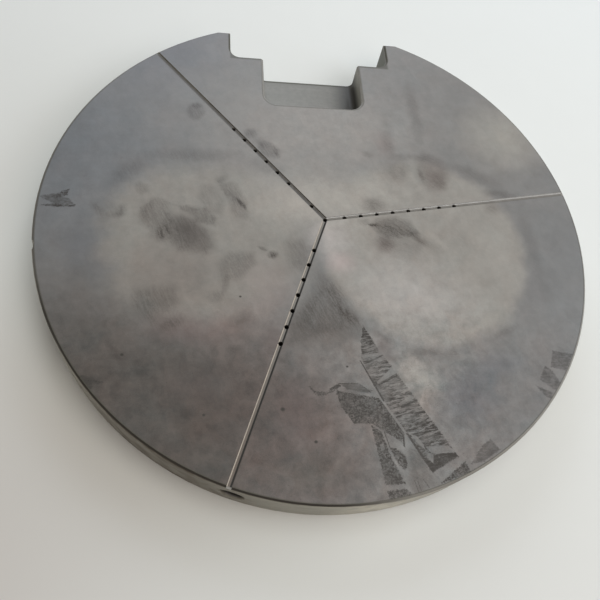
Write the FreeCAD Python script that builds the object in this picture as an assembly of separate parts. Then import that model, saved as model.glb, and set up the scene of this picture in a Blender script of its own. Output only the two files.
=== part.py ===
import FreeCAD, Part

import math
import os

from FreeCAD import Vector

# Silicon carbide vacuum tray: one thick ground disc that holds flat work by suction.
# The origin is on the disc's axis at its underside, +Z is up and +Y points to the handling notch.
# Lengths are in millimetres, angles in degrees from +X.

# Disc
disc_diameter = 300.0
disc_thickness = 25.0
rim_flat_inset = 11.6
edge_chamfer = 1.1

# Handling notch, cut right through, in from the rim flat
notch_width = 100.0
notch_depth = 20.1
notch_corner_radius = 6.0

# Pocket behind the notch, sunk from the top and open to the notch
pocket_width = 60.0
pocket_length = 37.3
pocket_corner_radius = 7.5
pocket_depth = 18.0
pocket_floor_fillet = 3.5

# Shallow grooves from the centre out through the rim
groove_angles = {"upper_left": 129.0, "right": 9.0, "lower_left": 249.0}
groove_width = 2.5
groove_depth = 1.0

# Suction holes down the grooves, counted outwards from place 0, and one at the centre
hole_diameter = 2.4
first_hole_distance = 11.2
hole_pitch = 9.5
hole_places = 8
undrilled_places = {"upper_left": [1], "right": [], "lower_left": [0]}

# Air passages inside the disc, one under each row of holes, meeting at the centre
passage_diameter = 6.0
passage_drop = 11.5
passage_past_last_hole = 4.0

# Vacuum port in the rim, a little to one side of the lower left groove's end
port_turn_from_groove = 0.75
port_diameter = 12.0
port_depth = 15.0
port_countersink = 0.5

# Chip out of the upper rim edge, shaped like a bite from a ball
chip_angle = 187.4
chip_ball_diameter = 8.0
chip_ball_drop = 1.0
chip_depth = 1.35

# How far a cutter runs past the face that it opens
cutter_overrun = 2.0

disc_radius = disc_diameter / 2
rim_flat_distance = disc_radius - rim_flat_inset
notch_wall_distance = rim_flat_distance - notch_depth
pocket_wall_distance = notch_wall_distance - pocket_length
passage_height = disc_thickness - passage_drop
last_hole_distance = first_hole_distance + (hole_places - 1) * hole_pitch
port_angle = groove_angles["lower_left"] + port_turn_from_groove


def outward(angle):
    turn = math.radians(angle)
    return Vector(math.cos(turn), math.sin(turn), 0)


def place(angle, distance, height):
    return outward(angle) * distance + Vector(0, 0, height)


def edges_within(solid, low_y, high_y, low_z, high_z):
    # The edges that lie wholly between these two distances and these two heights
    slack = 1e-4
    found = []
    for edge in solid.Edges:
        box = edge.BoundBox
        deep_enough = box.YMin > low_y - slack and box.YMax < high_y + slack
        level_enough = box.ZMin > low_z - slack and box.ZMax < high_z + slack
        if deep_enough and level_enough:
            found.append(edge)
    return found


def recess(width, wall_distance, corner_radius, floor_height):
    # Cutter open at the top and towards +Y, with its two inner upright corners rounded
    length = disc_radius + cutter_overrun - wall_distance
    height = disc_thickness + cutter_overrun - floor_height
    block = Part.makeBox(width, length, height, Vector(-width / 2, wall_distance, floor_height))
    wall_edges = edges_within(block, wall_distance, wall_distance, floor_height, disc_thickness * 2)
    uprights = [edge for edge in wall_edges if edge.BoundBox.ZLength > height / 2]
    return block.makeFillet(corner_radius, uprights)


def disc_blank():
    # Plain disc with the rim flat ground on it
    disc = Part.makeCylinder(disc_radius, disc_thickness)
    beyond_flat = Part.makeBox(
        disc_diameter,
        disc_radius,
        disc_thickness,
        Vector(-disc_radius, rim_flat_distance, 0),
    )
    return disc.cut(beyond_flat)


def notch_cutter():
    return recess(notch_width, notch_wall_distance, notch_corner_radius, -cutter_overrun)


def pocket_cutter():
    # As the notch but narrower and blind, with its floor rounded into its three walls
    floor_height = disc_thickness - pocket_depth
    plain = recess(pocket_width, pocket_wall_distance, pocket_corner_radius, floor_height)
    inner_end = disc_radius + cutter_overrun - pocket_floor_fillet
    floor_edges = edges_within(plain, pocket_wall_distance, disc_diameter, floor_height, floor_height)
    rounded = [edge for edge in floor_edges if edge.BoundBox.YMin < inner_end]
    return plain.makeFillet(pocket_floor_fillet, rounded)


def with_broken_edges(disc):
    # Chamfers the whole outline of the top and underside, and the pocket's mouth in the notch wall
    outline = edges_within(disc, -disc_radius, disc_radius, disc_thickness, disc_thickness)
    outline += edges_within(disc, -disc_radius, disc_radius, 0, 0)
    wall = edges_within(disc, notch_wall_distance, notch_wall_distance, cutter_overrun, disc_thickness)
    mouth = [edge for edge in wall if abs(edge.CenterOfMass.x) < (pocket_width + notch_width) / 4]
    return disc.makeChamfer(edge_chamfer, outline + mouth)


def groove_cutter(angle):
    length = disc_radius + cutter_overrun
    corner = Vector(0, -groove_width / 2, disc_thickness - groove_depth)
    groove = Part.makeBox(length, groove_width, groove_depth + cutter_overrun, corner)
    groove.rotate(Vector(0, 0, 0), Vector(0, 0, 1), angle)
    return groove


def hole_cutter(angle, distance):
    # From the passage up through the groove's floor
    height = passage_drop + cutter_overrun
    return Part.makeCylinder(hole_diameter / 2, height, place(angle, distance, passage_height))


def hole_row(name):
    drilled = [count for count in range(hole_places) if count not in undrilled_places[name]]
    angle = groove_angles[name]
    return [hole_cutter(angle, first_hole_distance + count * hole_pitch) for count in drilled]


def passage_cutter(angle, length):
    centre = Vector(0, 0, passage_height)
    return Part.makeCylinder(passage_diameter / 2, length, centre, outward(angle))


def port_cutter():
    # Flat-bottomed bore in from the rim, its mouth countersunk
    shoulder = place(port_angle, disc_radius - port_depth, passage_height)
    bore = Part.makeCylinder(port_diameter / 2, port_depth + cutter_overrun, shoulder, outward(port_angle))
    radius = port_diameter / 2
    sink_start = place(port_angle, disc_radius - port_countersink, passage_height)
    sink_length = port_countersink + cutter_overrun
    sink = Part.makeCone(radius, radius + sink_length, sink_length, sink_start, outward(port_angle))
    return bore.fuse(sink)


def chip_cutter():
    ball_radius = chip_ball_diameter / 2
    centre = place(chip_angle, disc_radius - chip_depth + ball_radius, disc_thickness - chip_ball_drop)
    return Part.makeSphere(ball_radius, centre)


def tray():
    disc = disc_blank().cut(notch_cutter()).cut(pocket_cutter())
    disc = with_broken_edges(disc)
    cutters = [groove_cutter(angle) for angle in groove_angles.values()]
    cutters.append(hole_cutter(0, 0))
    for name in groove_angles:
        cutters += hole_row(name)
    blind_length = last_hole_distance + passage_past_last_hole
    cutters.append(passage_cutter(groove_angles["upper_left"], blind_length))
    cutters.append(passage_cutter(groove_angles["right"], blind_length))
    cutters.append(passage_cutter(port_angle, disc_radius - port_depth / 2))
    cutters.append(port_cutter())
    cutters.append(chip_cutter())
    return disc.cut(cutters)


os.makedirs("parts", exist_ok=True)
tray().exportStep("parts/tray.step")
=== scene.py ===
import math

import bpy
import numpy as np
from mathutils import Matrix, Vector


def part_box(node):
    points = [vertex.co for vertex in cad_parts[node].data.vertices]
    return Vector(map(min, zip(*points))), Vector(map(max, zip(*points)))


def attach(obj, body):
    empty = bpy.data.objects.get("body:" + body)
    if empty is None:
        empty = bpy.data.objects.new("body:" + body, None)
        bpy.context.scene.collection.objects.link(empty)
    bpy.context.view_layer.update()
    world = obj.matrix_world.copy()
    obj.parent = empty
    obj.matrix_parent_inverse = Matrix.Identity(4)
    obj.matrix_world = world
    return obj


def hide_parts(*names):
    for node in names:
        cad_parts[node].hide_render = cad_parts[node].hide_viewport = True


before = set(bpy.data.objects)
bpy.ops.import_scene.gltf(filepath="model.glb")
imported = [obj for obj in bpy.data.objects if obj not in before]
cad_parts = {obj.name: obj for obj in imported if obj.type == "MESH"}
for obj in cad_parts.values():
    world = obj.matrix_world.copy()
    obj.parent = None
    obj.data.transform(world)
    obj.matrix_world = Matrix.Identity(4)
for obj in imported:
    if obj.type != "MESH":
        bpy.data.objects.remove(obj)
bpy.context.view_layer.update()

# Silicon carbide vacuum tray on a pale table, seen from above and a little in front of its lower left.
# Everything is in metres in the tray's own frame: +Z up, +Y to the handling notch.
# Marks on the top face are placed in millimetres from the tray's middle, as with a ruler.

trayLow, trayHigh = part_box("tray")
mm = 1000
trayTop = trayHigh[2]
topHeight = trayTop * mm
rimRadius = (trayHigh[0] - trayLow[0]) / 2 * mm
rimFlat = trayHigh[1] * mm
print("tray", round(rimRadius * 2), "mm across,", round(topHeight), "mm thick")


# Shader arithmetic


class Signal:
    # One shader socket that Python's operators work on; each operator adds a Math node
    def __init__(self, tree, port):
        self.tree = tree
        self.port = port

    def math(self, operation, *others):
        values = dict(enumerate((self, *others)))
        return addNode(self.tree, "ShaderNodeMath", {"operation": operation}, values)

    def mathAfter(self, operation, first):
        return addNode(self.tree, "ShaderNodeMath", {"operation": operation}, {0: first, 1: self})

    def __add__(self, other):
        return self.math("ADD", other)

    def __sub__(self, other):
        return self.math("SUBTRACT", other)

    def __mul__(self, other):
        return self.math("MULTIPLY", other)

    def __pow__(self, other):
        return self.math("POWER", other)

    def __radd__(self, other):
        return self.mathAfter("ADD", other)

    def __rsub__(self, other):
        return self.mathAfter("SUBTRACT", other)

    def ramp(self, start, end, low=0.0, high=1.0, smooth=True):
        # Goes from low to high while this signal goes from start to end, and stays there
        kind = "SMOOTHSTEP" if smooth else "LINEAR"
        values = {"Value": self, "From Min": start, "From Max": end, "To Min": low, "To Max": high}
        return addNode(self.tree, "ShaderNodeMapRange", {"interpolation_type": kind}, values)


def addNode(tree, kind, settings=None, values=None, output=0):
    # One node of any kind: its settings, numbers or Signals for its sockets, and the output to go on with
    node = tree.nodes.new(kind)
    for name, setting in (settings or {}).items():
        setattr(node, name, setting)
    for name, value in (values or {}).items():
        if isinstance(value, Signal):
            tree.links.new(value.port, node.inputs[name])
        else:
            node.inputs[name].default_value = value
    return Signal(tree, node.outputs[output])


def paint(red, green, blue):
    # A colour as a paint chart gives it, 0 to 255, turned into the share of light that it reflects
    share = np.array([red, green, blue]) / 255
    linear = np.where(share > 0.04045, ((share + 0.055) / 1.055) ** 2.4, share / 12.92)
    return (*(float(part) for part in linear), 1.0)


def blended(tree, amount, under, over, how="MIX"):
    # Colour over laid on colour under by an amount from 0 to 1
    values = {0: amount, 6: under, 7: over}
    settings = {"data_type": "RGBA", "blend_type": how, "clamp_factor": True}
    return addNode(tree, "ShaderNodeMix", settings, values, 2)


def noise(tree, place, scale, detail=2.0, roughness=0.5, stretch=(1, 1, 1), turn=0.0, output=0):
    # Cloudy noise about 0.5, its features near 1 / scale across, drawn out by stretch after a turn in degrees
    values = {"Vector": place, "Rotation": (0, 0, math.radians(turn)), "Scale": stretch}
    drawn = addNode(tree, "ShaderNodeMapping", {"vector_type": "TEXTURE"}, values)
    values = {"Vector": drawn, "Scale": scale, "Detail": detail, "Roughness": roughness}
    return addNode(tree, "ShaderNodeTexNoise", {}, values, output)


def spot(tree, place, at, size, turn=0.0, blur=1.0, strength=1.0):
    # Ellipse about at, size its half lengths, full inside and fading over the share blur at its edge
    rotation = (0, 0, math.radians(turn))
    values = {"Vector": place, "Location": (*at, 0), "Rotation": rotation, "Scale": (*size, 1)}
    local = addNode(tree, "ShaderNodeMapping", {"vector_type": "TEXTURE"}, values)
    inward = addNode(tree, "ShaderNodeTexGradient", {"gradient_type": "SPHERICAL"}, {"Vector": local}, 1)
    return inward.ramp(0.0, blur, 0.0, strength)


def distanceAlong(tree, place, direction):
    # How far a place lies from the middle towards a level direction: their dot product
    values = {0: place, 1: (float(direction[0]), float(direction[1]), 0)}
    return addNode(tree, "ShaderNodeVectorMath", {"operation": "DOT_PRODUCT"}, values, 1)


def patch(tree, place, corners):
    # How far a point lies inside a patch with straight edges: the least of its distances to the edges
    points = np.array(corners, dtype=float)
    following = np.roll(points, -1, axis=0)
    edges = following - points
    area = np.sum(points[:, 0] * following[:, 1] - following[:, 0] * points[:, 1])
    inward = np.stack([-edges[:, 1], edges[:, 0]], axis=1) * np.sign(area)
    inward /= np.linalg.norm(inward, axis=1, keepdims=True)
    offsets = np.sum(inward * points, axis=1)
    inside = None
    for direction, offset in zip(inward, offsets):
        distance = distanceAlong(tree, place, direction) - float(offset)
        inside = distance if inside is None else inside.math("MINIMUM", distance)
    return inside


def newMaterial(name):
    material = bpy.data.materials.new(name)
    material.use_nodes = True
    tree = material.node_tree
    tree.nodes.clear()
    shader = tree.nodes.new("ShaderNodeBsdfPrincipled")
    output = tree.nodes.new("ShaderNodeOutputMaterial")
    tree.links.new(shader.outputs["BSDF"], output.inputs["Surface"])
    return material, tree, shader


# The tray's own mesh: the frame's loose triangles merged, then smooth except at real edges

trayMesh = {
    "mergeWithin": 1e-7,  # points nearer than this become one
    "sharpFrom": 28.0,  # degrees between two faces from which their edge stays sharp
    "topWithin": 1e-5,  # faces this near the top plane are dressed as the top
}


def mergedCopy(source, name):
    # Points with the same rounded place become one point, so that neighbouring faces share edges
    points = np.empty(len(source.data.vertices) * 3)
    source.data.vertices.foreach_get("co", points)
    points = points.reshape(-1, 3)
    corners = np.empty(len(source.data.loops), dtype=int)
    source.data.loops.foreach_get("vertex_index", corners)
    rounded = np.round(points / trayMesh["mergeWithin"]).astype(np.int64)
    _, first, joined = np.unique(rounded, axis=0, return_index=True, return_inverse=True)
    faces = joined.reshape(-1)[corners].reshape(-1, 3)
    distinct = (faces[:, 0] != faces[:, 1]) & (faces[:, 1] != faces[:, 2]) & (faces[:, 2] != faces[:, 0])
    mesh = bpy.data.meshes.new(name)
    mesh.from_pydata(points[first], [], faces[distinct])
    mesh.update()
    return mesh


def dressedTray():
    mesh = mergedCopy(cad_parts["tray"], "tray_ground")
    mesh.shade_smooth()
    mesh.set_sharp_from_angle(angle=math.radians(trayMesh["sharpFrom"]))
    piece = bpy.data.objects.new("tray_ground", mesh)
    bpy.context.scene.collection.objects.link(piece)
    return piece


# Ground silicon carbide: what a user would change

carbide = {
    "plain": (128, 127, 125),
    "rim": ((139, 137, 127), (166, 164, 153)),  # darker and lighter streaks
    "chamfer": (136, 134, 128),
    "brink": (50, 46, 40),  # painted shade: dark line where the front and left chamfers, turned away from the light, meet the top
    "pocket": ((146, 144, 140), (131, 131, 127)),  # its floor by the inner wall and by the open side
    "underside": ((116, 115, 113), (134, 133, 130)),  # between and on its grinding rings
    "groove": ((134, 132, 128), (112, 103, 96)),  # and where it is dusky, lower left
    # painted shade inside the bores
    "bore": (58, 56, 53),
    # dark specks and pits on the top, and the painted shadow in the pocket's right end
    "grime and painted shade": (46, 43, 38),
    "print": (56, 49, 44),  # what hands and wiping leave
    "residue": (50, 46, 43),  # what the adhesive strips left
    "edgeLine": (66, 65, 52),  # thin dark line around the top
    "roughness": 0.5,
    "side roughness": 0.54,
}

# How places are bent before a texture or mark is laid on them: scale of the noise, reach, detail
bends = {
    "wandering": (0.05, 16, 4.0),
    "trembling": (0.4, 2.6, 4.0),
    "combed": (0.1, 4.0, 3.0),
    "shaken": (0.25, 2.0, 3.0),
}

# Noise textures: scale, detail, roughness, then how far they are drawn out and their turn in degrees
textures = {
    "clouds": (0.07, 5.0, 0.6),
    "mottle": (0.17, 5.0, 0.7),
    "grain": (1.8, 2.0, 0.7),
    "wiped": (0.35, 5.0, 0.65, (1, 5, 1), 20),
    "dapple": (0.12, 3.0, 0.45),
    "blush": (0.05, 4.0, 0.65),
    "steep strokes": (1.15, 3.0, 0.65, (1, 8, 1), 24),
    "slanted strokes": (1.15, 3.0, 0.65, (1, 8, 1), 52),
    "speckle": (1.0, 4.0, 0.75),
    "ragged": (1.2, 3.0, 0.65),
    "hatched": (0.75, 4.0, 0.8, (6, 1, 1), 12),
    "brushed": (0.85, 4.0, 0.8, (3, 1, 1), -8),
    "patchy residue": (0.16, 3.0, 0.7),
    "top's bumps": (2.2, 3.0, 0.7),
    "side mottle": (0.28, 4.0, 0.65),
    "grinding streaks": (0.9, 4.0, 0.65, (12, 12, 1)),
    "turned rings": (1.4, 3.0, 0.6),
    "patchy walls": (0.12,),
    "table grain": (0.05, 3.0),
}

# Fine relief: strength, height in millimetres
bumps = {
    "top": (0.3, 0.12),
    "sides": (0.6, 0.02),
}

# How strongly the top face's clouds, mottle and grain show
wear = {
    "clouds": 0.4,
    "mottle": 0.46,
    "grain": 0.2,
    "wiped": 0.18,
    "blush": 0.15,  # from green grey to rose
}

# Fades of the top face's wear and marks: from and to, then the strengths there where they aren't 0 and 1.
# Those with a direction run in millimetres, the others over the values of a texture.
fades = {
    "wear southwards": (-35, -100, 1.0, 2.9),
    "wear eastwards": (55, 95, 1.0, 0.6),
    "dapple southwards": (-40, -82, 0.0, 0.9),
    "dapple westwards": (70, 30, 0.3, 1.0),
    "slanted strokes eastwards": (15, 22),
    "strokes": (0.3, 0.7, 0.58, 1.2),
    "speckle in prints": (0.35, 0.65, -0.12, 0.25),
    "pits": (0.62, 0.7, 0.0, 0.34),
    "hatching": (0.4, 0.58, 0.08, 1.05),
    "hatching southwards": (-85, -125, 0.8, 1.0),
    "denser towards the tip": (-79, -72, 0.0, 0.35),
    "denser towards the foot": (-124, -130, 0.0, 0.35),
    "brushing": (0.33, 0.53, 0.42, 1.0),
    "speckle in level strips": (0.45, 0.61, 1.12, 0.4),
    "faint brushing": (0.3, 0.6, 0.28, 0.66),
    "patchy residue": (0.36, 0.6, 0.68, 1.16),
    "speckle in thick residue": (0.48, 0.62, 1.0, 0.6),
    "edge line inwards": (1.1, 1.9, 0.75, 0.0),
    "edge line northwards": (70, 130, 1.0, 0.45),
    "ledge northwards": (115.5, 116.7, 0.0, 0.7),
    "ledge's ends": (51, 49.5),
}

# The same for the sides. Slopes run from 0 for upright to 1 for level, and depths down from the top.
sideFades = {
    "rim streaks": (0.32, 0.68),
    "patchy walls": (0.3, 0.7, 0.6, 1.3),
    "bores' depth": (1.3, 1.8),
    "bores, in from the rim": (0.5, 1.6),
    "short of the pocket": (79, 77),
    "shaded front chamfer southwards": (0, -60),
    "shaded front chamfer westwards": (34, -8),
    "shaded left chamfer westwards": (-95, -130, 0.0, 0.6),
    "brink's depth": (1.0, 0.65),
    "notch's edge northwards": (116.6, 117.4),
    "notch's edge above the table": (1.2, 3, 0.0, 0.95),
    "chamfers' slope": (0.3, 0.65),
    "level slope": (0.75, 0.95),
    "rings": (0.3, 0.7, 0.0, 0.5),
    "pocket's floor northwards": (86, 104),
    "pocket's far shade": (112.5, 117, 0.0, 0.16),
    "pocket's far line": (115.6, 116.5, 0.0, 0.74),
    "floors above the underside": (1.0, 3.0),
    "grooves' depth": (1.4, 1.2),
    "groove floors' depth": (0.9, 0.95),
    "groove walls' slope": (0.55, 0.6, 1.0, 0.0),
    "shaded end eastwards": (9, 27, 0.0, 0.95),
    "shaded end's wall": (31.5, 30.5),
    "shaded end's depth": (1, 15),
    "shaded end above the table": (4.0, 6.5),
    "shaded end northwards": (79, 80),
    "dark corner above the table": (10, 8),
}

# Painted highlight and shadow in each groove, by its angle, standing in for its lit and shaded walls: how far
# left looking outward, half width, colour, strength
grooves = {
    129: ((-0.1, 1.0, (98, 97, 96), 0.9),),
    9: ((-0.5, 0.6, (112, 109, 104), 0.8), (1.3, 0.6, (208, 209, 208), 1.0)),
    249: ((-1.15, 0.45, (196, 189, 178), 1.0), (0.65, 0.6, (24, 21, 19), 1.0)),
}
hollows = {
    "handling notch": (50, 118.3),  # half width, distance of its wall
    "pocket": (30, 81),
    "corner": 7.5,
}

# Tones of the upright walls, with painted shade on the front left and at the notch's end and painted light
# along the front: place, half lengths, blur, colour, strength, and whether they are patchy
wallTones = {
    "shady front left": ((-88, -128), (72, 60), 0.8, (84, 74, 60), 0.66, True),
    "dark left": ((-139, -62), (15, 18), 0.8, (62, 62, 55), 0.8, False),
    "painted light along the front": ((18, -149), (38, 24), 1.0, (206, 202, 188), 0.9, True),
    "painted shade at the notch end": ((50, 128), (5, 16), 0.5, (70, 72, 61), 0.75, False),
}

# Broad tones of the top face, laid one over the other: place, half lengths, turn, blur, colour, strength
tones = {
    "cool left side": ((-150, 45), (105, 130), 0, 0.9, (108, 112, 116), 0.95),
    "cool upper left": ((-90, 128), (75, 60), 35, 1.0, (107, 109, 114), 0.9),
    "right side": ((150, -40), (75, 110), 0, 0.8, (119, 120, 120), 0.9),
    "pale upper right": ((118, 66), (42, 36), 20, 1.0, (156, 153, 146), 0.9),
    "lower right": ((85, -115), (80, 60), 35, 0.8, (117, 116, 115), 0.9),
    "warm shade": ((-98, -122), (150, 110), -35, 0.75, (80, 75, 71), 1.0),
    "rose shade": ((-18, -120), (52, 66), 15, 0.9, (101, 91, 88), 0.85),
    "pale lower middle": ((39, -93), (15, 24), 25, 1.0, (160, 154, 147), 0.75),
    "upper middle": ((5, 62), (90, 52), 0, 0.9, (146, 143, 139), 0.95),
    "left pool": ((-66, -14), (63, 56), 0, 0.34, (140, 137, 131), 0.95),
    "left pool's lower half": ((-80, -38), (42, 32), 5, 0.9, (124, 117, 111), 0.7),
    "right pool": ((55, -16), (63, 62), 0, 0.16, (148, 145, 139), 0.96),
    "pale middle": ((-6, 12), (58, 32), 0, 1.0, (166, 162, 155), 0.9),
    "pale middle's heart": ((2, -13), (18, 19), 0, 1.0, (182, 178, 176), 0.65),
    "pale right of the middle": ((30, 19), (24, 15), 0, 1.0, (164, 160, 153), 0.6),
    "pale pool's lower half": ((40, -45), (52, 36), -10, 1.0, (171, 168, 165), 0.75),
    "pale pool's edge": ((98, -22), (18, 30), 0, 1.0, (156, 153, 147), 0.6),
    "brown between the pools": ((-6, -66), (30, 20), 0, 1.0, (84, 74, 68), 0.4),
    "brown shade": ((-46, -101), (52, 44), -20, 1.0, (76, 65, 60), 0.6),
    "rose by the lower groove": ((-46, -61), (40, 15), 30, 1.0, (138, 121, 115), 0.4),
    "grey under the left pool": ((-92, -56), (20, 12), 20, 1.0, (122, 122, 118), 0.4),
    "cool blotch": ((63, -102), (26, 20), 20, 0.9, (95, 95, 100), 0.55),
    "cool blotch's arm": ((80, -86), (26, 12), 15, 1.0, (102, 102, 106), 0.5),
    "green grey at the lower rim": ((-16, -134), (28, 15), 0, 1.0, (76, 78, 73), 0.45),
    "grey left of the left pool": ((-124, -18), (17, 24), 0, 1.0, (96, 98, 102), 0.55),
    "grey below that": ((-115, -32), (15, 13), 0, 1.0, (100, 100, 102), 0.45),
    "shade by the lower groove": ((-44, -74), (28, 17), 15, 1.0, (90, 80, 76), 0.4),
    "shade under that": ((-62, -97), (20, 13), 20, 1.0, (76, 68, 64), 0.35),
    "paler by the lower strip": ((5, -120), (18, 16), 0, 1.0, (128, 120, 116), 0.4),
    "paler at the dark triangle's foot": ((0, -74), (15, 8), 0, 1.0, (122, 114, 109), 0.4),
    "shade right of the right pool": ((112, -42), (14, 13), 0, 1.0, (112, 111, 111), 0.4),
}


def broadTones(tree, place):
    colour = paint(*carbide["plain"])
    for at, size, turn, blur, tone, strength in tones.values():
        colour = blended(tree, spot(tree, place, at, size, turn, blur, strength), colour, paint(*tone))
    return colour


# Prints and smears: place, half lengths, turn, blur, strength
prints = {
    "fingertip": ((-70.5, 71.5), (6.5, 8.5), -8, 0.5, 0.4),
    "fingertip's upper end": ((-70.5, 76), (4.5, 3), 0, 0.8, 0.25),
    "by the upper left groove": ((-39.5, 57.5), (6, 5), 30, 0.9, 0.5),
    "between tip and thumb": ((-35, 52), (9, 6), -42, 0.9, 0.26),
    "thumb by the groove": ((-29, 46), (9, 6.5), -38, 0.5, 0.36),
    "thumb's outer edge": ((-25, 44.5), (1.8, 5.5), 20, 0.9, 0.3),
    "soft tip": ((-98, 16.5), (4.5, 6), 30, 0.7, 0.3),
    "left crescent": ((-119.5, 2.5), (3.4, 8), 38, 0.9, 0.3),
    "left crescent's base": ((-112, -1.5), (7, 3.4), 10, 0.9, 0.24),
    "left crescent's inside": ((-114, 3.5), (9, 8.5), 0, 0.9, 0.15),
    "left strokes": ((-107.5, 1.5), (3.8, 7), -15, 0.9, 0.36),
    "palm's outer foot": ((-88, -13), (7, 6), 0, 0.9, 0.26),
    "swirl's stroke": ((-45.5, 8.5), (6, 2), -56, 0.8, 0.5),
    "swirl's top": ((-56, 24), (6, 3), 30, 0.9, 0.26),
    "loop's tail": ((-54.5, -41), (3, 7), -12, 0.9, 0.3),
    "small smudge": ((-29.5, -23), (4, 3.2), 0, 0.8, 0.7),
    "small smudge's tail": ((-35, -19.5), (4.5, 1.7), -25, 0.9, 0.4),
    "streak's tip": ((26.5, -3), (4.5, 1.6), -5, 0.9, 0.55),
    "streak's inner fan": ((50, -10.5), (10, 3), -42, 0.9, 0.24),
    "streak's outer fan": ((54, -12), (14, 4.6), -44, 0.9, 0.24),
    "under the streak": ((32, -14.5), (7, 8), 10, 0.9, 0.36),
    "above the right groove": ((28.5, 10.5), (10, 8), 15, 0.9, 0.42),
    "brown patch's left strokes": ((59.6, 32.5), (2.2, 8.5), 8, 0.9, 0.26),
    "brown patch's top": ((63, 45), (6, 4.5), 20, 0.9, 0.16),
    "band to the brown patch": ((50, 45.5), (15, 4), 4, 0.9, 0.24),
    "upright smear": ((62.5, 82), (6, 36), 2, 0.9, 0.24),
    "smear by the right groove": ((107, 21), (15, 4.6), -4, 0.9, 0.3),
    "smear above it": ((94, 34), (26, 8.5), -28, 1.0, 0.26),
    "under the right groove": ((99, 11), (7, 6.5), 0, 0.9, 0.32),
    "halo of the streak": ((42, -16), (25, 16), -20, 1.0, 0.28),
    "shade in the right pool": ((77, -12), (9, 17), 8, 1.0, 0.12),
    "shade by the middle": ((7, -6), (7, 4), 0, 0.9, 0.12),
    "faint upright strokes": ((43, 62), (6, 22), 0, 0.9, 0.16),
    "faint print": ((45, 34.5), (10.5, 10.5), 0, 0.7, 0.3),
    "faint print's upper left": ((29, 46), (5.5, 3), -20, 0.9, 0.26),
    "strokes over the faint print": ((42, 52), (6, 12), 8, 1.0, 0.15),
    "brown patch's right foot": ((70, 28), (6, 9), 15, 0.9, 0.24),
    "left of the streak": ((21.5, -1), (6, 3.6), 10, 0.9, 0.3),
    "under the left pool": ((-70, -83), (34, 10), -4, 1.0, 0.18),
    "blot's shade": ((-117.5, -91), (7, 5.5), -10, 0.8, 0.5),
    "between the pools, top": ((2, -45), (8, 10), 20, 0.9, 0.2),
    "lower left second print": ((-80, -62), (11, 6), 20, 0.9, 0.32),
    "lower left scribble": ((-58, -47), (7, 4.5), 15, 0.9, 0.26),
    "lower left third print": ((-47, -60), (12, 6), 15, 0.9, 0.24),
    "between the pools, right arm": ((8, -59), (5, 16), 42, 0.9, 0.3),
    "between the pools, left arm": ((-17, -58), (7, 17), -38, 0.9, 0.26),
    "under the right pool": ((48, -78), (17, 3), -4, 0.9, 0.26),
    "under the right pool, left": ((25, -70), (12, 2.6), -32, 0.9, 0.28),
    "under the right pool, right": ((89, -67.5), (13, 3.4), 24, 0.9, 0.28),
    "beside the right pool": ((118, -12), (6.5, 45), 0, 0.9, 0.18),
    "over the left pool": ((-72, 40), (36, 7), 3, 0.9, 0.3),
    "over the left pool, left": ((-106, 27), (20, 8), 44, 0.9, 0.28),
    "over the left pool, right": ((-30, 33), (16, 6), -30, 0.9, 0.16),
}

# Stains of a colour of their own: middle, half lengths, turn, colour, strength
stains = {
    "in the palm's core": ((-72.5, -10.5), (20, 13.5), -45, (84, 77, 73), 0.7),
    "in the brown patch": ((68, 33), (13, 17), 0, (104, 84, 80), 0.34),
    "under the streak": ((32, -15), (8, 9), 0, (112, 88, 84), 0.3),
    "over the faint print": ((40, 54), (10, 16), 10, (132, 112, 108), 0.24),
    "left of the lower groove": ((-34, -38), (22, 20), -20, (150, 130, 128), 0.22),
    "low in the left pool": ((-74, -64), (32, 13), -6, (150, 125, 121), 0.27),
    "by the lower groove's foot": ((-22, -106), (14, 25), 0, (104, 90, 90), 0.24),
    "under the left pool": ((-66, -92), (26, 14), 12, (92, 82, 80), 0.24),
    "beside the lower groove": ((-31, -70), (9, 16), -15, (104, 84, 80), 0.34),
    "right of the tip": ((24, -75), (8, 13), 25, (118, 96, 90), 0.3),
    "in the right pool": ((6, -27), (12, 10), 0, (212, 190, 190), 0.3),
}

# Dark specks on the ground face: place, radius
specks = {
    "by the lower groove": ((-28.5, -105.5), 1.0),
    "to its left": ((-64.5, -107.3), 0.7),
    "in the left pool": ((-47, -47.5), 0.6),
    "at the left": ((-102, -78), 0.8),
    "over the strips": ((4, -85), 0.6),
    "by the lower rim": ((-14, -121), 0.8),
}

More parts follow.
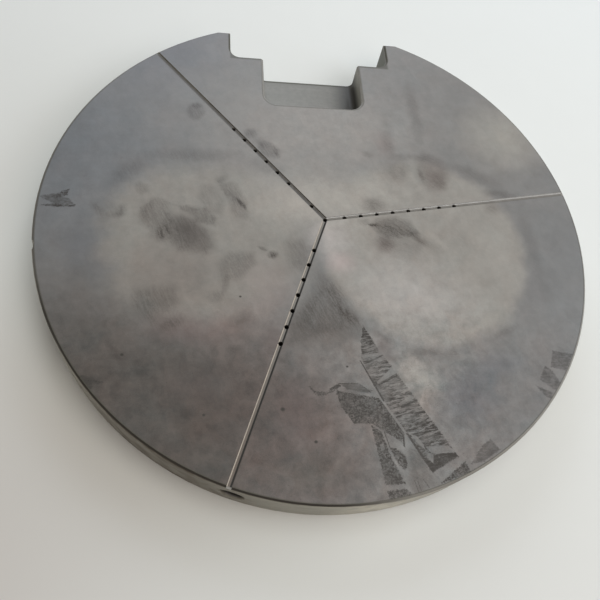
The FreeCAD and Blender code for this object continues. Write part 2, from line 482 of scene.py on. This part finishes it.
# Smears with a shape of their own: corners, softness of the edge, strength
smears = {
    "palm's core": (
        ((-84, -0.5), (-74, -1), (-63.5, -9), (-59.5, -20), (-64, -23), (-77, -21.5), (-85.5, -9.5)),
        2.2,
        0.36,
    ),
    "palm's dark heel": (((-84, -3), (-76, -2), (-68, -12), (-72, -20), (-84, -12)), 4.0, 0.1),
    "palm's outer part": (((-98, 3.5), (-91, 10), (-84, 7.5), (-82, -3), (-86.5, -13), (-98, -5)), 2.5, 0.34),
    "palm's outer rim": (((-99, 0), (-94, 9), (-90, 10.5), (-94, -4)), 2.0, 0.16),
    "palm's fringe": (((-85, 6.5), (-65, 5), (-58, -2), (-61, -8.5), (-67, -4), (-84, 0)), 1.6, 0.4),
    "palm's left shade": (((-89, -4), (-84, -8), (-78, -21), (-88, -16)), 3.0, 0.26),
    "swirl's left oval": (
        ((-67, 20.5), (-59, 18.5), (-54, 9.6), (-56, 0), (-64, 2.5), (-68.5, 11)),
        1.8,
        0.19,
    ),
    "swirl's dark side": (
        ((-58, 22.5), (-48, 21), (-42.5, 9), (-41.6, -1.5), (-49.5, -0.5), (-54.5, 13.5)),
        2.0,
        0.3,
    ),
    "swirl's crest": (((-56, 19), (-51, 17), (-43.5, 6), (-46, 5), (-53, 12)), 1.4, 0.16),
    "loop": (((-58, -29), (-52, -22), (-40, -22.5), (-38.5, -28), (-47, -38), (-56.5, -39)), 2.4, 0.33),
    "beside the lower groove": (((-23, -15), (-14, -13), (-8.5, -20), (-13, -33), (-21, -31)), 4.0, 0.32),
    "between the pools": (((-6, -34), (0, -37), (14, -60), (8, -68), (-22, -72), (-14, -50)), 6.0, 0.45),
    "streak": (
        ((24.4, -3), (29, 1), (40, 3), (48, -0.5), (51.5, -7.5), (46, -10.5), (37, -10.5), (29, -8)),
        2.2,
        0.42,
    ),
    "streak's heart": (((26, -3), (36, 0), (43, -3.5), (43, -8), (35, -7.5)), 2.6, 0.16),
    "brown patch": (((58, 45), (64, 50), (74, 45), (77.5, 34), (72, 23), (62, 22), (57, 32)), 3.0, 0.24),
    "lower left print": (((-98, -44), (-79, -42), (-76, -51), (-89, -62), (-99, -54)), 3.4, 0.36),
    "brown streaks under it": (((-94, -60), (-72, -57), (-52, -68), (-60, -74), (-86, -70)), 5.0, 0.13),
    "streaks between the strips": (
        ((29.5, -126), (33.5, -123), (39, -138), (40, -142), (31, -146.5), (28, -141)),
        2.0,
        0.4,
    ),
}


def speckMarks(tree, place):
    total = None
    for at, radius in specks.values():
        mark = spot(tree, place, at, (radius * 1.5, radius * 1.3), 0.0, 0.7, 0.95)
        total = mark if total is None else total + mark
    return total


def printMarks(tree, place, ragged):
    total = None
    for at, size, turn, blur, strength in prints.values():
        mark = spot(tree, place, at, size, turn, blur, strength)
        total = mark if total is None else total + mark
    for corners, softness, strength in smears.values():
        total = total + (patch(tree, place, corners) + ragged).ramp(-softness, softness, 0.0, strength)
    return total


printFacts = {
    "ragged": 7.0,  # how far the smears' edges wander, in millimetres
    "strongest": 0.95,
    "smoother": 0.12,  # how much less rough a print is than the ground face
}
residueFacts = {
    "ragged": 2.8,  # how far the patches' edges wander, in millimetres
    "ragged tears": 0.25,  # share of that for the tears
    "ragged thick edges": 0.3,
    "torn away": 0.88,
    "strength": 0.92,
    "smoother": 0.1,
}

# Patches of the strips' residue by their corners: hatched across, brushed level, and faint
residueAcross = {
    "long strip's tip": ((14.2, -63.3), (17.5, -69), (21, -77), (19, -80), (11.6, -79.5), (12.2, -72)),
    "long strip": ((11, -80), (22.5, -78.6), (53.2, -130), (39, -136.8), (16.4, -96)),
}
residueLevel = {
    "cross strip": ((-3, -96.8), (2.5, -97.8), (18.6, -101.2), (26.2, -113.8), (4.4, -113.2), (-0.8, -105)),
    "cross strip's end": ((12.9, -113.2), (24.8, -111.4), (28.4, -118), (26.4, -122.6)),
    "wisp's dark end": ((-6.5, -97), (-1, -93.4), (0.2, -94.8), (-5.4, -98.6)),
    "wisp's tail": ((-12.5, -97.2), (-6, -97.4), (-6.5, -99.2), (-12, -99.3)),
    "wisp's far tail": ((-15.8, -94.8), (-14.6, -94.7), (-11.6, -98.4), (-12.4, -99.1)),
    "lower strip's top": ((12.7, -113.9), (17.5, -117.4), (20.3, -129), (14.6, -129)),
    "lower strip": ((19, -125), (25.6, -141.2), (16.2, -141.6), (14.3, -125)),
    "lower strip's end": ((16.6, -144), (25.6, -143.2), (28.5, -146), (17.5, -148)),
    "blot at the rim": ((-121.5, -88), (-117, -87.6), (-113.6, -90), (-113.4, -94), (-117, -95)),
    "blot's branch": ((-114.4, -89.4), (-109.4, -90.8), (-109.6, -92), (-114, -92)),
    "left rim's spur": ((-143, 9), (-137.5, 12.5), (-134, 14.4), (-134.6, 10), (-139, 8.4)),
    "left rim's lower blade": ((-148, 3.4), (-140, 5.2), (-130, 4.4), (-130.4, 3), (-140, 2.4)),
    "crescent": ((20.2, -124.6), (23, -125), (27.5, -128.8), (27.8, -133), (26.4, -135.6), (23, -131.8)),
    "rim piece": ((41.5, -142.2), (55.8, -132), (57.8, -137.2)),
}
residueFaint = {
    "wisp over the cross strip": ((-1.2, -93.2), (7, -93.2), (15.5, -97.4), (12.5, -98.6), (2.5, -96.4)),
    "left rim's upper blade": ((-149, 9), (-141, 11), (-133.5, 8), (-130.6, 4.4), (-141, 4.6)),
    "rim piece to its right": ((58.3, -133.6), (65, -132.8), (74.5, -127.5), (70.5, -122), (66, -125)),
    "right rim's upper piece": ((114.3, -77.3), (125.5, -79.5), (119, -88.5), (111, -86.5)),
    "right rim's lower piece": ((103, -93), (108, -85.5), (111.5, -88.5), (114.5, -95), (110.5, -99)),
    "right rim's last piece": ((100, -95.6), (108.6, -100), (107.4, -103.8), (104, -101.5)),
}

# Where the strips are torn or folded and the pale ground shows
residueTears = {
    "under the tip": ((11.8, -79.3), (22.5, -77.4), (22.8, -79), (12.2, -81)),
    "first fold": ((17.6, -93.2), (26.6, -85.4), (30, -88), (18.4, -93.9)),
    "second fold": ((27, -104.2), (33.5, -99.8), (36.6, -101.4), (28, -105)),
    "along the cross strip": ((13.6, -93.6), (14.8, -93), (32.4, -122.8), (31.2, -123.6)),
    "leaf by the left limb": ((30.6, -118.4), (34.4, -120), (37, -124), (37.4, -126.4), (34, -123.4)),
    "lower fold": ((37.4, -124.8), (48.6, -124.6), (52.6, -127.6), (51, -128.2), (40.2, -128.2)),
    "beside the wedge": ((38.2, -127.6), (41, -128.4), (40.6, -133.2), (37.4, -130)),
    "in the lower strip": ((15.6, -123), (17.6, -122.6), (18, -125.6), (16.2, -126.2)),
}

# Where the residue lies thick, along edges and folds
residueThick = {
    "wedge": ((39.2, -137), (40.8, -128.6), (52.8, -129.6)),
    "long strip's left edge": ((10.4, -82), (11.2, -81.8), (17.4, -94.8), (16.4, -95.4)),
    "left edge's lower half": ((16.4, -95.4), (17.4, -94.8), (20.8, -102.6), (19.9, -103)),
    "under the first fold": ((18, -94.2), (29.3, -89), (29.2, -90), (18.6, -95.2)),
    "under the second fold": ((28, -105.2), (36.8, -101.8), (37.4, -102.8), (28.6, -106.4)),
    "left limb": ((28.8, -118.2), (30.2, -118.2), (37, -130.5), (35.6, -131)),
    "left limb's foot": ((35.6, -131), (37, -130), (40.6, -134), (41.2, -135.8), (39.2, -137)),
    "wisp's knot": ((-6.2, -96.2), (-2, -93.8), (0, -94.6), (-5, -97.2)),
    "wisp's upper edge": ((-1.5, -93.2), (8.6, -93.4), (8.6, -94), (-1.2, -94)),
    "wisp's end": ((8.2, -93.4), (9.2, -93.6), (14.8, -98), (14.2, -98.5)),
    "tail behind the crescent": ((26.8, -119), (28.2, -118.4), (27.9, -125.6), (26.9, -124)),
    "crescent's upper edge": ((18.3, -117.1), (18.9, -117), (20.9, -125.4), (20.3, -125.5)),
    "first thread": ((31.3, -140.2), (31.7, -140.1), (32.8, -144.6), (32.4, -144.8)),
    "second thread": ((29.8, -139.8), (30.2, -139.7), (31.4, -144.9), (31, -145)),
    "third thread": ((34, -139.6), (34.4, -139.4), (36.8, -143.2), (36.4, -143.5)),
}


def residueMarks(tree, place, ragged, patches):
    # The nearest patch's inside, made ragged at its edge, from 0 to 1
    deepest = None
    for corners in patches.values():
        inside = patch(tree, place, corners)
        deepest = inside if deepest is None else deepest.math("MAXIMUM", inside)
    return (deepest + ragged).ramp(-0.15, 0.35)


def brokenEdges(east, north, reach):
    # Distance in from the top face's outline: the least of those to the rim, the flat and the two hollows,
    # each hollow with its corners rounded, hypot(how far aside, how far before) less the corner's radius
    nearest = (rimRadius - reach).math("MINIMUM", rimFlat - north)
    corner = hollows["corner"]
    for half, wall in (hollows["handling notch"], hollows["pocket"]):
        aside = (east.math("ABSOLUTE") - (half - corner)).math("MAXIMUM", 0.0)
        before = (wall + corner - north).math("MAXIMUM", 0.0)
        nearest = nearest.math("MINIMUM", (aside * aside + before * before) ** 0.5 - corner)
    return nearest


def grooveLightAndShade(tree, flat, colour):
    # Painted highlight and shadow stripes along each groove, full at their middle line and fading to their
    # edges
    for angle, stripes in grooves.items():
        turn = math.radians(angle)
        outward = distanceAlong(tree, flat, (math.cos(turn), math.sin(turn))).ramp(0.5, 1.5)
        aside = distanceAlong(tree, flat, (-math.sin(turn), math.cos(turn)))
        for offset, halfWidth, tone, strength in stripes:
            stripe = (aside - offset).math("ABSOLUTE").ramp(halfWidth * 0.4, halfWidth, strength, 0.0)
            colour = blended(tree, stripe * outward, colour, paint(*tone))
    return colour


def places(tree):
    # A point in millimetres as solid, flat, east, north, height and reach from the axis, and how it faces up
    coordinates = tree.nodes.new("ShaderNodeTexCoord")
    own = Signal(tree, coordinates.outputs["Object"])
    solid = addNode(tree, "ShaderNodeVectorMath", {"operation": "SCALE"}, {0: own, "Scale": mm})
    east, north, height = (addNode(tree, "ShaderNodeSeparateXYZ", {}, {0: solid}, axis) for axis in range(3))
    upward = addNode(tree, "ShaderNodeSeparateXYZ", {}, {0: Signal(tree, coordinates.outputs["Normal"])}, 2)
    flat = addNode(tree, "ShaderNodeCombineXYZ", {}, {0: east, 1: north})
    reach = addNode(tree, "ShaderNodeVectorMath", {"operation": "LENGTH"}, {0: flat}, 1)
    return solid, flat, east, north, height, reach, upward


def bent(tree, flat, scale, reach, detail):
    # Places moved about by cloudy noise, so that no mark keeps a drawn outline
    cloud = noise(tree, flat, scale, detail, 0.6, output=1)
    centred = addNode(tree, "ShaderNodeVectorMath", {"operation": "SUBTRACT"}, {0: cloud, 1: (0.5, 0.5, 0.5)})
    values = {0: centred, 1: (reach, reach, 0), 2: flat}
    return addNode(tree, "ShaderNodeVectorMath", {"operation": "MULTIPLY_ADD"}, values)


def tinted(tree, colour, red, green, blue):
    # Colour times a share for each of its three parts
    share = addNode(tree, "ShaderNodeCombineColor", {}, {0: red, 1: green, 2: blue})
    return blended(tree, 1.0, colour, share, "MULTIPLY")


def swing(tree, place, name):
    # A named texture as it swings about 0
    return noise(tree, place, *textures[name]) - 0.5


def joinFinish(tree, shader, colour, roughness, bump, relief):
    # A finish's colour, roughness and relief, joined to its shader
    strength, depth = bumps[bump]
    values = {"Strength": strength, "Distance": depth / mm, "Height": relief}
    normal = addNode(tree, "ShaderNodeBump", {}, values)
    for name, signal in (("Base Color", colour), ("Roughness", roughness), ("Normal", normal)):
        tree.links.new(signal.port, shader.inputs[name])


def groundTop():
    material, tree, shader = newMaterial("ground top face")
    _, flat, east, north, _, reach, _ = places(tree)
    wandering = bent(tree, flat, *bends["wandering"])
    trembling = bent(tree, flat, *bends["trembling"])

    # Clouds, mottle, grain and wiping strokes over the broad tones, stronger in the worn lower part
    clouds = swing(tree, wandering, "clouds")
    mottle = swing(tree, trembling, "mottle")
    grain = swing(tree, flat, "grain")
    wiped = swing(tree, wandering, "wiped")
    worn = north.ramp(*fades["wear southwards"]) * east.ramp(*fades["wear eastwards"])
    fine = mottle * wear["mottle"] + grain * wear["grain"] + wiped * wear["wiped"]
    uneven = clouds * wear["clouds"] + fine * worn
    dapple = swing(tree, wandering, "dapple")
    dappled = north.ramp(*fades["dapple southwards"]) * east.ramp(*fades["dapple westwards"])
    shade = dapple * dappled + uneven + 1
    top = broadTones(tree, wandering)
    blush = swing(tree, wandering, "blush") * worn * wear["blush"]
    top = tinted(tree, top, shade + blush, shade, shade - blush * 0.4)

    # Hands' prints, then the strips' residue
    combed = bent(tree, flat, *bends["combed"])
    steep = noise(tree, combed, *textures["steep strokes"])
    slanted = noise(tree, combed, *textures["slanted strokes"])
    side = east.ramp(*fades["slanted strokes eastwards"])
    streaks = steep * (1.0 - side) + (slanted * 0.6 + 0.2) * side
    speckle = noise(tree, flat, *textures["speckle"])
    marks = printMarks(tree, trembling, mottle * printFacts["ragged"])
    handled = marks * (streaks.ramp(*fades["strokes"]) + speckle.ramp(*fades["speckle in prints"]))
    for at, size, turn, colour, strength in stains.values():
        top = blended(tree, spot(tree, trembling, at, size, turn, 1.0, strength), top, paint(*colour))
    top = blended(tree, handled.math("MINIMUM", printFacts["strongest"]), top, paint(*carbide["print"]))
    pits = speckle.ramp(*fades["pits"]) * (worn - 0.85)
    top = blended(tree, speckMarks(tree, flat).math("MAXIMUM", pits), top, paint(*carbide["grime and painted shade"]))
    ragged = swing(tree, flat, "ragged") * residueFacts["ragged"]
    shaken = bent(tree, flat, *bends["shaken"])
    hatched = noise(tree, shaken, *textures["hatched"])
    across = hatched.ramp(*fades["hatching"]) * north.ramp(*fades["hatching southwards"])
    across = across + north.ramp(*fades["denser towards the tip"])
    across = across + north.ramp(*fades["denser towards the foot"])
    across = across * residueMarks(tree, flat, ragged, residueAcross)
    brushed = noise(tree, shaken, *textures["brushed"])
    level = brushed.ramp(*fades["brushing"]) * speckle.ramp(*fades["speckle in level strips"])
    level = level * residueMarks(tree, flat, ragged, residueLevel)
    faint = brushed.ramp(*fades["faint brushing"]) * residueMarks(tree, flat, ragged, residueFaint)
    torn = residueMarks(tree, flat, ragged * residueFacts["ragged tears"], residueTears)
    ground = 1.0 - torn * residueFacts["torn away"]
    residue = across.math("MAXIMUM", level).math("MAXIMUM", faint) * ground
    patchy = noise(tree, shaken, *textures["patchy residue"])
    residue = residue * patchy.ramp(*fades["patchy residue"])
    thick = residueMarks(tree, flat, ragged * residueFacts["ragged thick edges"], residueThick)
    thick = thick * speckle.ramp(*fades["speckle in thick residue"])
    residue = residue.math("MAXIMUM", thick)
    top = blended(tree, residue * residueFacts["strength"], top, paint(*carbide["residue"]))
    # A thin dark line along the top face's outline, and along its edge at the notch
    darkEdge = brokenEdges(east, north, reach).ramp(*fades["edge line inwards"])
    darkEdge = darkEdge * north.ramp(*fades["edge line northwards"])
    ledge = north.ramp(*fades["ledge northwards"]) * east.math("ABSOLUTE").ramp(*fades["ledge's ends"])
    top = blended(tree, darkEdge.math("MAXIMUM", ledge), top, paint(*carbide["edgeLine"]))

    roughness = carbide["roughness"] + mottle * 0.3
    roughness = roughness - handled * printFacts["smoother"] - residue * residueFacts["smoother"]
    joinFinish(tree, shader, top, roughness, "top", noise(tree, flat, *textures["top's bumps"]))
    return material


def below(start, name):
    # From and to of a fade that is measured down from the top or in from the rim
    return [start - distance for distance in sideFades[name]]


def groundSides():
    material, tree, shader = newMaterial("ground sides and underside")
    solid, flat, east, north, height, reach, upward = places(tree)
    flatness = upward.math("ABSOLUTE")
    mottle = swing(tree, solid, "side mottle")
    streaked = noise(tree, solid, *textures["grinding streaks"])
    around = addNode(tree, "ShaderNodeCombineXYZ", {}, {0: reach, 2: height})
    turned = noise(tree, around, *textures["turned rings"])

    # Upright walls, bores, edges, and the level faces under the top
    streaks = streaked.ramp(*sideFades["rim streaks"], smooth=False)
    wall = blended(tree, streaks, *(paint(*tone) for tone in carbide["rim"]))
    patchy = noise(tree, solid, *textures["patchy walls"]).ramp(*sideFades["patchy walls"])
    for at, size, blur, tone, strength, cloudy in wallTones.values():
        shown = spot(tree, flat, at, size, 0.0, blur, strength)
        wall = blended(tree, shown * patchy if cloudy else shown, wall, paint(*tone))
    shortOfPocket = north.ramp(*sideFades["short of the pocket"])
    # Painted shade in the bores: everything 1.8 mm or more under the top, in from the rim and short of the
    # pocket, which also takes in most of the underside
    inside = height.ramp(*below(topHeight, "bores' depth"))
    inside = inside * reach.ramp(*below(rimRadius, "bores, in from the rim")) * shortOfPocket
    # Painted shade on the front and left chamfers, turned away from the light: their upper part takes the
    # dark brink colour
    shadedChamfer = north.ramp(*sideFades["shaded front chamfer southwards"])
    shadedChamfer = shadedChamfer * east.ramp(*sideFades["shaded front chamfer westwards"])
    shadedChamfer = shadedChamfer.math("MAXIMUM", east.ramp(*sideFades["shaded left chamfer westwards"]))
    brink = height.ramp(*below(topHeight, "brink's depth"))
    brink = blended(tree, brink, wall, paint(*carbide["brink"]))
    chamfer = blended(tree, shadedChamfer, paint(*carbide["chamfer"]), brink)
    notchEdge = north.ramp(*sideFades["notch's edge northwards"]) * (rimRadius - 3 - reach).ramp(0, 1)
    notchEdge = notchEdge * height.ramp(*sideFades["notch's edge above the table"])
    chamfer = blended(tree, notchEdge, chamfer, paint(*carbide["edgeLine"]))
    colour = blended(tree, flatness.ramp(*sideFades["chamfers' slope"]), wall, chamfer)
    ringed = turned.ramp(*sideFades["rings"])
    under = blended(tree, ringed, *(paint(*tone) for tone in carbide["underside"]))
    pocket = north.ramp(*sideFades["pocket's floor northwards"])
    pocket = blended(tree, pocket, *(paint(*tone) for tone in carbide["pocket"]))
    farEdge = north.ramp(*sideFades["pocket's far shade"]) + north.ramp(*sideFades["pocket's far line"])
    pocket = blended(tree, farEdge, pocket, paint(*carbide["edgeLine"]))
    floors = blended(tree, height.ramp(*sideFades["floors above the underside"]), under, pocket)
    colour = blended(tree, flatness.ramp(*sideFades["level slope"]), colour, floors)

    # Grooves: their walls, then their floors, a millimetre under the top
    shallow = height.ramp(*below(topHeight, "grooves' depth"))
    grooveWall = shallow * shortOfPocket * flatness.ramp(*sideFades["groove walls' slope"])
    grooveFloor = shallow * height.ramp(*below(topHeight, "groove floors' depth"))
    inGroove = grooveWall.math("MAXIMUM", grooveFloor)
    inGroove = inGroove * (rimRadius - 1 - reach).ramp(0, 0.2)
    dusky = spot(tree, flat, (-54, -140), (60, 120), 0, 0.9)
    grooved = blended(tree, dusky, *(paint(*tone) for tone in carbide["groove"]))
    # Painted highlight and shadow stripes over the grooves' walls and floors
    colour = blended(tree, inGroove, colour, grooveLightAndShade(tree, flat, grooved))
    colour = blended(tree, inside, colour, paint(*carbide["bore"]))

    # Painted shadow in the pocket's right end, cast by its right wall and strongest low in the inner corner,
    # and a dark spot low down at the left
    leaning = east - (north - hollows["pocket"][1]) * 0.12
    shaded = leaning.ramp(*sideFades["shaded end eastwards"]) * east.ramp(*sideFades["shaded end's wall"])
    shaded = shaded * height.ramp(*below(topHeight, "shaded end's depth"))
    shaded = shaded * height.ramp(*sideFades["shaded end above the table"])
    shaded = shaded * north.ramp(*sideFades["shaded end northwards"])
    corner = spot(tree, flat, (-30, 138), (5, 4.5), 0, 1.0, 0.7)
    corner = corner * height.ramp(*sideFades["dark corner above the table"])
    colour = blended(tree, shaded.math("MAXIMUM", corner), colour, paint(*carbide["grime and painted shade"]))
    shade = mottle * 0.5 + (turned - 0.5) * 0.2 + 1
    roughness = carbide["side roughness"] + mottle * 0.25
    joinFinish(tree, shader, tinted(tree, colour, shade, shade, shade), roughness, "sides", streaked)
    return material


def dressByHeight(mesh):
    # Faces that lie in the top plane take the first material, all others the second
    heights = np.empty(len(mesh.polygons) * 3)
    mesh.polygons.foreach_get("center", heights)
    underTop = heights[2::3] < trayTop - trayMesh["topWithin"]
    mesh.polygons.foreach_set("material_index", underTop.astype(np.int32))


tray = dressedTray()
print("tray mesh", len(tray.data.polygons), "faces")
tray.data.materials.append(groundTop())
tray.data.materials.append(groundSides())
dressByHeight(tray.data)
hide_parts("tray")
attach(tray, "root")
print("finishes of", [len(finish.node_tree.nodes) for finish in tray.data.materials], "nodes")


# Table, camera and light

tableFacts = {
    "reach": 2.5,  # half its length
    "lines": 9,  # grid lines each way
    "colour": (231, 234, 232),
    "shaded": (205, 201, 196),  # colour of the painted shade over its lower left
    "paintedShade": ((-230, -190), (230, 170), 35, 1.0),  # where: middle, half lengths, turn, blur
    "grain": (200, 200, 196),
    "grain strength": 0.06,
    "roughness": 0.85,
}


def tablePiece():
    # Square grid of two parameters, each from one edge to the other, flat at height 0
    lines = tableFacts["lines"]
    steps = np.linspace(-tableFacts["reach"], tableFacts["reach"], lines)
    east, north = np.meshgrid(steps, steps)
    points = np.stack([east.ravel(), north.ravel(), np.zeros(east.size)], axis=1)
    corner = (np.arange(lines - 1)[:, None] * lines + np.arange(lines - 1)).ravel()
    faces = np.stack([corner, corner + 1, corner + lines + 1, corner + lines], axis=1)
    mesh = bpy.data.meshes.new("table")
    mesh.from_pydata(points, [], faces)
    piece = bpy.data.objects.new("table", mesh)
    bpy.context.scene.collection.objects.link(piece)
    return piece


def paleTable():
    material, tree, shader = newMaterial("pale table")
    ownPlace = Signal(tree, tree.nodes.new("ShaderNodeTexCoord").outputs["Object"])
    place = addNode(tree, "ShaderNodeVectorMath", {"operation": "SCALE"}, {0: ownPlace, "Scale": mm})
    # Painted shade over the table's lower left
    paintedShade = spot(tree, place, *tableFacts["paintedShade"])
    colour = blended(tree, paintedShade, paint(*tableFacts["colour"]), paint(*tableFacts["shaded"]))
    grain = noise(tree, place, *textures["table grain"]) * tableFacts["grain strength"]
    colour = blended(tree, grain, colour, paint(*tableFacts["grain"]))
    tree.links.new(colour.port, shader.inputs["Base Color"])
    shader.inputs["Roughness"].default_value = tableFacts["roughness"]
    return material


table = tablePiece()
table.data.materials.append(paleTable())

cameraFacts = {
    "place": (-0.0657, -0.1877, 0.2825),  # from the middle of the top face
    "look": (0.17205, 0.44956, -0.87653),
    "up": (-0.01038, 0.89057, 0.45472),
    "lens": 37.78,
    "sensor": 36,
    "shift": (-0.0205, -0.0185),
    "nearest": 0.01,
}


def addCamera(facts):
    data = bpy.data.cameras.new("camera")
    data.sensor_width = facts["sensor"]
    data.lens = facts["lens"]
    data.shift_x, data.shift_y = facts["shift"]
    data.clip_start = facts["nearest"]
    camera = bpy.data.objects.new("camera", data)
    back = -Vector(facts["look"]).normalized()
    right = Vector(facts["up"]).cross(back).normalized()
    turned = Matrix((right, back.cross(right), back)).transposed().to_4x4()
    camera.matrix_world = Matrix.Translation(Vector(facts["place"]) + Vector((0, 0, trayTop))) @ turned
    bpy.context.scene.collection.objects.link(camera)
    bpy.context.scene.camera = camera


# Softboxes a metre from the tray: azimuth, elevation, power in watts, colour
softboxes = {
    "low right": (4, 25, 4.2, (0.81, 0.9, 1.0)),
    "behind": (90, 25, 5.3, (0.84, 0.91, 1.0)),
    "front right": (-45, 50, 2.75, (1.0, 0.89, 0.83)),
    "overhead": (0, 88, 2.5, (0.98, 1.0, 0.93)),
}
softboxWidth = 0.7
room = {"colour": (1.0, 0.89, 0.8, 1.0), "strength": 0.22}


def addSoftbox(name, azimuth, elevation, power, colour):
    data = bpy.data.lights.new(name, "AREA")
    data.shape = "SQUARE"
    data.size = softboxWidth
    data.energy = power
    data.color = colour
    lamp = bpy.data.objects.new(name, data)
    turn = math.radians(azimuth)
    rise = math.radians(elevation)
    away = Vector((math.cos(turn) * math.cos(rise), math.sin(turn) * math.cos(rise), math.sin(rise)))
    lamp.matrix_world = Matrix.Translation(away) @ away.to_track_quat("Z", "Y").to_matrix().to_4x4()
    bpy.context.scene.collection.objects.link(lamp)


def roomLight():
    world = bpy.data.worlds.new("room")
    world.use_nodes = True
    background = world.node_tree.nodes["Background"]
    background.inputs["Color"].default_value = room["colour"]
    background.inputs["Strength"].default_value = room["strength"]
    bpy.context.scene.world = world


addCamera(cameraFacts)
for name, facts in softboxes.items():
    addSoftbox(name, *facts)
roomLight()
bpy.context.scene.view_settings.view_transform = "Standard"
print("table, camera and", len(softboxes), "softboxes")
